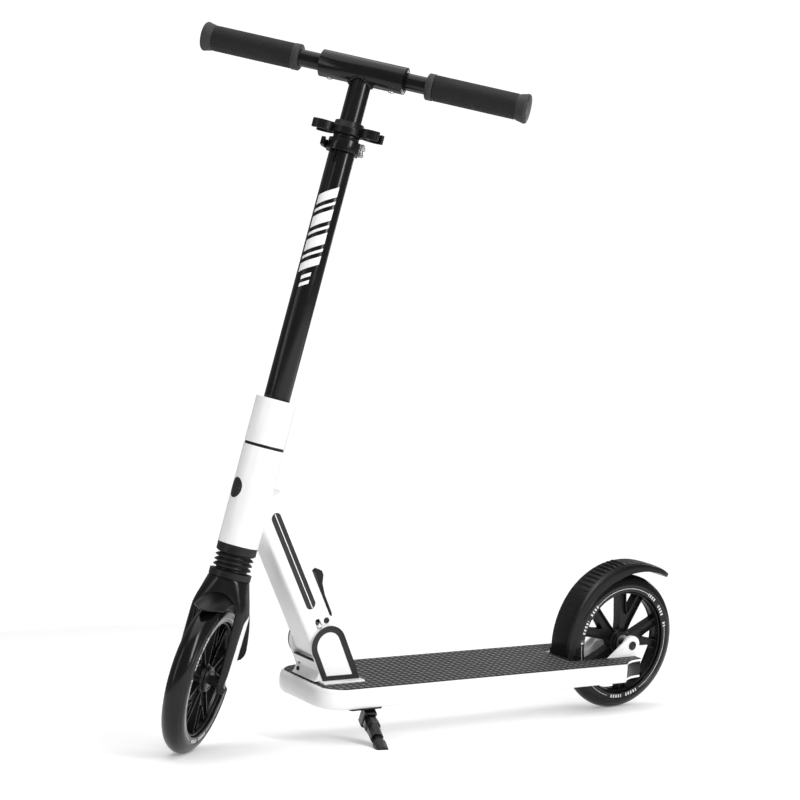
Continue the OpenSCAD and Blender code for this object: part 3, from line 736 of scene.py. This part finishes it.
def mudguard_shape():
    grid = []
    for v in steps(0, 1, 30):
        row = []
        tip = 1 - max(0, (v - 0.86) / 0.14) ** 2.2
        w = 17 * sqrt(max(0.03, tip))
        for u in steps(-1, 1, 13):
            angle = radians(-12 - 71 * v)
            r = 120 - 2.6 * u * u
            p = (-8 + r * sin(angle), w * u, r * cos(angle))
            row.append((p, (sin(angle), 0, cos(angle))))
        grid.append(row)
    return plate(grid, 2.4)


rounded(made("rear_mudguard", mudguard_shape(), FRONT, "fork", "black_plastic", 40,
             ["front_mudguard"]), 0.6)


def boot_shape():
    profile = [(17.5, 131.6), (24.4, 131.6), (25.1, 133), (25.3, 138.6), (24.2, 139.8),
               (21.0, 140.4)]
    for t in (144.8, 151.2, 157.6):
        profile += [(20.2, t - 2.3), (22.0, t - 1.5), (24.6, t - 0.9), (25.2, t), (24.6, t + 0.9),
                    (22.0, t + 1.5), (20.2, t + 2.3)]
    profile += [(20.6, 161.6), (23.6, 162.4), (24.4, 163.2), (25.4, 170.4), (26.2, 172),
                (26.2, 174.1), (17.5, 174.1)]
    return lathe(profile, 96)


rounded(made("boot_bellows", boot_shape(), STEERED, "steering", "boot_rubber", 50), 0.3)


# ---- handlebar -------------------------------------------------------------
def grip_shape():
    """A grip along Z with fine slanting ribs between a smooth band and its end."""
    rings = []
    start, end = BAR_HALF - 134, BAR_HALF
    ribs_from, ribs_to = start + 9.5, end - 14
    body = [(z, None) for z in steps(ribs_from, ribs_to, 150)]
    ends_in = [(start, 11.2), (start, 16.2), (start + 0.8, 17.2), (start + 8.6, 17.3),
               (start + 9.4, 16.6)]
    ends_out = [(end - 13.4, 16.3), (end - 12.4, 16.9), (end - 4.5, 18.5), (end - 3.6, 19.0),
                (end - 1.2, 19.0), (end, 18.0), (end - 0.2, 9), (end - 0.6, 0.01)]
    for z, r in ends_in + body + ends_out:
        ring = []
        for k in range(144):
            a = 2 * pi * k / 144
            if r is None:
                fade = min(1, (z - ribs_from) / 1.5, (ribs_to - z) / 1.5)
                wave = sin(24 * a + z * 1.5) * 0.5 + 0.5
                q = 15.9 + 0.9 * wave * max(0, fade)
            else:
                q = r
            ring.append((q * cos(a), q * sin(a), z))
        rings.append(ring)
    return loft(rings)


for side, label in ((1, "left"), (-1, "right")):
    place = STEERED @ shift(0, 0, BAR_T) @ turn(-side * pi / 2, "X")
    made("grip_cover_" + label, grip_shape(), place, "handlebar", "soft_grip", 60,
         ["grip_" + label])


def weld_shape():
    """Rippled bead where the height tube meets the underside of the T."""
    rings = []
    for k in range(144):
        a = 2 * pi * k / 144
        x, y = (UPPER_R + 0.6) * cos(a), (UPPER_R + 0.6) * sin(a)
        z = BAR_T - sqrt(17.5 ** 2 - min(17.2, abs(x)) ** 2) - 0.4
        r = 1.9 + 0.35 * sin(a * 30)
        ring = []
        for j in range(10):
            b = 2 * pi * j / 10
            ring.append((x + r * cos(b) * cos(a), y + r * cos(b) * sin(a), z + r * sin(b)))
        rings.append(ring)
    return loft(rings + [rings[0]], False)


made("t_weld", weld_shape(), STEERED, "handlebar", "black_paint", 60)


# ---- grip holder -----------------------------------------------------------
def cup(side):
    """C-shaped clip open to the side, with a bead on each lip."""
    outline = []
    for a in steps(radians(52), radians(308), 40):
        outline.append((17.6 * sin(a), side * (33.5 + 17.6 * cos(a))))
    for a in steps(radians(308), radians(52), 40):
        outline.append((13.0 * sin(a), side * (33.5 + 13.0 * cos(a))))
    lips = [lathe([(0.01, 0), (3.0, 0), (3.0, 12), (0.01, 12)], 24)] * 2
    places = [shift(s * 12.3, side * 42.6, 0) for s in (1, -1)]
    return joined(prism(outline, 0, 12), *[moved(l, p) for l, p in zip(lips, places)])


def holder_shape():
    """Two cups on a boss, and the block that joins them, which is moulded on its own."""
    boss = lathe([(14.6, 0), (21, 0), (21, 9), (20.2, 10), (19.2, 16), (18.4, 17), (14.6, 17)], 72)
    waist = [(-10, -24), (10, -24), (10, 24), (-10, 24)]
    ring = prism(waist, 1.2, 12.2)
    return joined(boss, cup(1), cup(-1)), ring


holder, waist = holder_shape()
rounded(made("bar_holder", holder, STEERED @ shift(0, 0, HOLDER_T), "steering", "black_plastic",
             40, ["grip_holder"]), 0.9)
web = made("holder_web", waist, STEERED @ shift(0, 0, HOLDER_T), "steering", "black_plastic")


def drill(radius):
    return lathe([(0.01, -5), (radius, -5), (radius, 30), (0.01, 30)], 64)


moulded(web, [drill(14.7)] + [moved(drill(13.2), shift(0, s * 33.5, 0)) for s in (1, -1)], 0.7, 3)


# ---- neck and bracket details ----------------------------------------------
def capsule_outline(z0, z1, r):
    return ([(r * cos(a), z1 + r * sin(a)) for a in steps(0, pi, 13)]
            + [(r * cos(a), z0 + r * sin(a)) for a in steps(pi, 2 * pi, 13)])


def neck_lines():
    line = prism(capsule_outline(59.5, 203.5, 0.55), 24.75, 25.0)
    left = moved(line, turn(pi / 2, "X") @ turn(pi, "Y"))
    return joined(*[([(x, s * abs(y), z) for x, y, z in left[0]], left[1]) for s in (1, -1)])


made("neck_pinlines", neck_lines(), ON_NECK, "front_frame", "white_trim")


def skirt_shape():
    """Flared foot of the bracket's front wall."""
    rings = []
    for z, x in ((86, 556), (87.5, 554.5), (90, 552.4), (94, 551), (100, 550.2), (106, 549)):
        rings.append([(x, 27.9, z), (x, -27.9, z), (540, -27.9, z), (540, 27.9, z)])
    return loft(rings)


rounded(made("bracket_skirt", skirt_shape(), PARKED, "chassis", "white_paint"), 0.8)
wall_top = [(557.7, 112.4), (557.8, 113.5), (552.5, 114.2), (552.5, 112.4)]
made("bracket_seal", moved(prism(wall_top, -24.4, 24.4), turn(pi / 2, "X")), PARKED, "chassis",
     "boot_rubber")
SCREW = [(0.01, 0), (3.1, 0), (3.1, 1.1), (2.5, 1.8), (1.3, 1.8), (1.2, 1.0), (0.01, 1.0)]
made("wall_screws", joined(*[moved(lathe(SCREW, 32), shift(x, -19, z) @ turn(pi / 2, "Y"))
                             for x, z in ((549.9, 102), (551.4, 92.5))]),
     PARKED, "chassis", "dark_screws", 40, ["bracket_screws"])


def cheek_rim(side):
    """Dark edge of a cheek's trim, round its outline."""
    lean, r = radians(27.5), 26.7
    out = [Vector((cos(a), 0, sin(a))) for a in steps(-lean, pi - lean, 33)]
    points = [(Vector((PIVOT[0], 0, PIVOT[1])) + d * r, d) for d in out]
    foot = Vector((-sin(lean), 0, -cos(lean))) * 52
    points = [(points[0][0] + foot, out[0])] + points + [(points[-1][0] + foot, out[-1])]
    points = [(Vector((p.x, 0, max(p.z, 86.3))), d) for p, d in points]
    return plate([[((p.x, side * y, p.z), d) for y in (28.1, 29.5)] for p, d in points], 1.0)


made("trim_rims", joined(cheek_rim(1), cheek_rim(-1)), PARKED, "chassis", "trim_grey", 40)
BOLT_HALF = [(0.01, 25.4), (2.0, 25.4), (2.2, 26.0), (3.4, 26.0), (3.9, 25.4), (3.9, 24.1),
             (3.0, 24.1)]
made("latch_screw", moved(lathe(BOLT_HALF + [(r, -z) for r, z in BOLT_HALF[::-1]], 48),
                          shift(-12.4, 0, 31.4) @ turn(pi / 2, "X")),
     ON_NECK, "front_frame", "dark_screws", 40, ["latch_bolt"])


def handle_shape():
    """Latch lever: a thin blade with a hooked head, on an arm from its bolt."""
    arm = [(-12.4, 25.4), (-31, 23), (-31, 34), (-12.4, 37.4)]
    blade = [(-30, 27), (-31.3, 20), (-33.2, 25), (-33.6, 54), (-36.5, 70), (-42.5, 80),
             (-42.6, 86), (-39, 91), (-33.6, 90), (-32.4, 80), (-30.8, 68), (-30.3, 54)]
    eye = lathe([(3.2, -6), (6.4, -6), (6.4, 6), (3.2, 6)], 40)
    flat = turn(pi / 2, "X")
    return joined(moved(prism(arm, -5, 5), flat), moved(prism(blade, -5.4, 5.4), flat),
                  moved(moved(eye, flat), shift(-12.4, 0, 31.4)))


rounded(made("latch_handle", handle_shape(), ON_NECK, "latch", "black_plastic", 30,
             ["latch_lever"]), 0.9)


# ---- kickstand -------------------------------------------------------------
LEG_SIDE = KICK @ turn(radians(-19), "Z")
LEG = LEG_SIDE @ turn(-pi / 2, "X")          # Z down the leg


def octagon(radius, z):
    return [(radius * cos(a), radius * sin(a), z) for a in (pi / 4 * (k + 0.5) for k in range(8))]


sleeve = made("kick_sleeve", loft([octagon(10.2, 12.5), octagon(11.0, 14), octagon(11.0, 25),
                                   octagon(10.4, 27), octagon(9.2, 28), octagon(8.9, 51)]),
              LEG, "kickstand", "black_paint", 30)
rounded(sleeve, 0.7, 3)


def foot_shape():
    """Rubber foot: a neck out of the sleeve and a flared sole, cut flat by the ground."""
    rings = []
    for z, r in ((49, 5.4), (57, 5.6), (60, 6.6), (63, 8.6), (66, 8.8), (84, 8.8)):
        rings.append([(r * cos(a), r * sin(a), z) for a in (2 * pi * k / 40 for k in range(40))])
    return loft(rings)


foot = made("kick_foot", foot_shape(), LEG, "kickstand", "boot_rubber", 40, ["kickstand_foot"])
bm = bmesh.new()
bm.from_mesh(foot.data)
down = metres(LEG).inverted()
bmesh.ops.bisect_plane(bm, geom=bm.verts[:] + bm.edges[:] + bm.faces[:], clear_inner=True,
                       plane_co=down @ Vector((0, 0, 0)),
                       plane_no=down.to_3x3() @ Vector((0, 0, 1)))
bmesh.ops.holes_fill(bm, edges=[e for e in bm.edges if e.is_boundary])
bm.to_mesh(foot.data)
bm.free()


def housing():
    """Block round the leg's knuckle, open to the side and the rear, under a base plate."""
    obj = made("kick_housing", prism([(-7, -10), (8, -10), (10, -7), (10, 8), (8, 11), (-5, 11),
                                      (-7, 9)], -10.6, 12), LEG_SIDE, "chassis",
               "black_paint", 30, ["kickstand_mount"])
    cut_from(obj, prism([(-30, -30), (0, -30), (0, -8), (8.6, -8), (8.6, 30), (-30, 30)],
                        -8.2, 8.2))
    obj.data.shade_smooth()
    obj.data.set_sharp_from_angle(angle=radians(30))
    rounded(obj, 0.6)


housing()
plate_outline = [(474, 38), (520, 38), (523, 41), (523, 67), (520, 70), (474, 70), (471, 67),
                 (471, 41)]
rounded(made("kick_plate", prism(plate_outline, 54.7, 56), PARKED, "chassis", "black_paint", 30),
        0.6)


def on_tube(radius, corners, count=9):
    """A thin mark on a tube along Z: corners are (angle, height) of its two edges."""
    (a0, z0), (a1, z1), (b0, y0), (b1, y1) = corners
    grid = []
    for f in steps(0, 1, count):
        row = []
        for g in (0, 1):
            a = radians(a0 + (a1 - a0) * f) if g == 0 else radians(b0 + (b1 - b0) * f)
            z = z0 + (z1 - z0) * f if g == 0 else y0 + (y1 - y0) * f
            out = Vector((cos(a), sin(a), 0))
            row.append((out * (radius + 0.2) + Vector((0, 0, z)), out))
        grid.append(row)
    return plate(grid, 0.25)


def stem_bars():
    """Plain bars up the front of the stem."""
    bars = []
    for start, end, half in ((517, 522, 20), (527, 532, 20), (540, 551, 44), (557, 561, 44),
                             (567, 582, 44), (588, 592, 44), (598, 613, 44), (619, 623, 44),
                             (629, 642, 44)):
        rise = 8 * half / 44
        bars.append(on_tube(STEM_R, [(-half, start - rise), (half, start + rise),
                                     (-half, end - rise), (half, end + rise)], 21))
    return joined(*bars)


def head_disc():
    """Plain round mark on the front of the head tube."""
    grid = []
    for r in steps(0.01, 11.5, 6):
        row = []
        for b in steps(0, 2 * pi, 49):
            a = r * cos(b) / HEAD_R
            out = Vector((cos(a), sin(a), 0))
            row.append((out * (HEAD_R + 0.25) + Vector((0, 0, 246 + 1.15 * r * sin(b))), out))
        grid.append(row)
    return plate(grid, 0.3)


made("stem_bars", stem_bars(), STEERED, "steering", "white_trim", 40)
made("head_disc", head_disc(), HEADED, "front_frame", "trim_grey", 40)


def nut_shape():
    """Round thumb nut with a serrated rim, along Z."""
    rings = []
    for r, z, teeth in ((3, 0, 0), (8.0, 0, 0), (8.0, 1.2, 0), (8.4, 1.8, 0.45), (8.4, 7.2, 0.45),
                        (7.6, 8.2, 0.2), (5.2, 8.6, 0), (4.6, 7.8, 0), (0.01, 7.8, 0)):
        rings.append([((r + teeth * sin(22 * a)) * cos(a), (r + teeth * sin(22 * a)) * sin(a), z)
                      for a in (2 * pi * k / 132 for k in range(132))])
    return loft(rings)


made("thumb_nut", nut_shape(), STEERED @ shift(-24, 12.3, CLAMP_T + 2) @ turn(-pi / 2, "X"),
     "steering", "steel", 35, ["clamp_nut"])
made("cam_pin", lathe([(0.01, -8), (3.2, -8), (3.8, -7.4), (3.8, 7.4), (3.2, 8), (0.01, 8)], 40),
     STEERED @ shift(-26, -21, CLAMP_T), "clamp", "chrome", 40)


# ---- floor and light -------------------------------------------------------
FLOOR_R = 1.7                      # metres


def make_floor():
    mesh = bpy.data.meshes.new("floor")
    rim = [(FLOOR_R * cos(a), FLOOR_R * sin(a), 0) for a in (2 * pi * k / 96 for k in range(96))]
    mesh.from_pydata(rim, [], [tuple(range(96))])
    obj = bpy.data.objects.new("floor", mesh)
    bpy.context.scene.collection.objects.link(obj)
    p = Paint("floor_pale", grey(0.93), 0.7, level=0.2)
    p.colour(p.ramp(p.noise(3, 2), 0, 1), grey(0.925), grey(0.94))
    p.set("Emission Color", (1, 1, 1, 1))
    p.set("Emission Strength", 0.16)
    mesh.materials.append(p.mat)


def area_light(name, bearing, height, distance, size, power):
    """A soft box aimed at the scooter; bearing is in degrees to the right of the camera."""
    middle = Vector((TARGET.x, TARGET.y, 0.42))
    away = Vector((EYE.x - TARGET.x, EYE.y - TARGET.y, 0)).normalized()
    place = middle + turn(radians(bearing), "Z") @ away * distance
    place.z = height
    data = bpy.data.lights.new(name, "AREA")
    data.shape, data.size, data.size_y = "RECTANGLE", size[0], size[1]
    data.energy = power
    obj = bpy.data.objects.new(name, data)
    obj.location = place
    obj.rotation_euler = (middle - place).to_track_quat("-Z", "Y").to_euler()
    bpy.context.scene.collection.objects.link(obj)


def make_lights():
    world = bpy.data.worlds.new("studio")
    bpy.context.scene.world = world
    world.use_nodes = True
    tree = world.node_tree
    back = tree.nodes["Background"]
    back.inputs["Color"].default_value = (1, 1, 1, 1)
    # a white surround: 1.05 to the camera, 0.42 as light, and 0.18 less in reflections
    path = tree.nodes.new("ShaderNodeLightPath")
    seen = path.outputs["Is Camera Ray"]
    less = tree.nodes.new("ShaderNodeMath")
    less.operation = "MULTIPLY_ADD"
    less.inputs[1].default_value = -0.18
    strength = tree.nodes.new("ShaderNodeMapRange")
    strength.inputs["To Min"].default_value = 0.42
    strength.inputs["To Max"].default_value = 1.05
    tree.links.new(seen, strength.inputs["Value"])
    tree.links.new(path.outputs["Is Glossy Ray"], less.inputs[0])
    tree.links.new(strength.outputs["Result"], less.inputs[2])
    tree.links.new(less.outputs[0], back.inputs["Strength"])
    area_light("key", 40, 1.5, 2.5, (0.45, 2.2), 48)
    area_light("fill", -55, 1.2, 2.6, (0.35, 1.8), 7)
    area_light("rim", 150, 1.4, 2.4, (0.4, 2.0), 9)
    area_light("top", 0, 2.6, 0.05, (3.0, 3.0), 44)
    bpy.context.scene.view_settings.view_transform = "Standard"


make_floor()
make_lights()
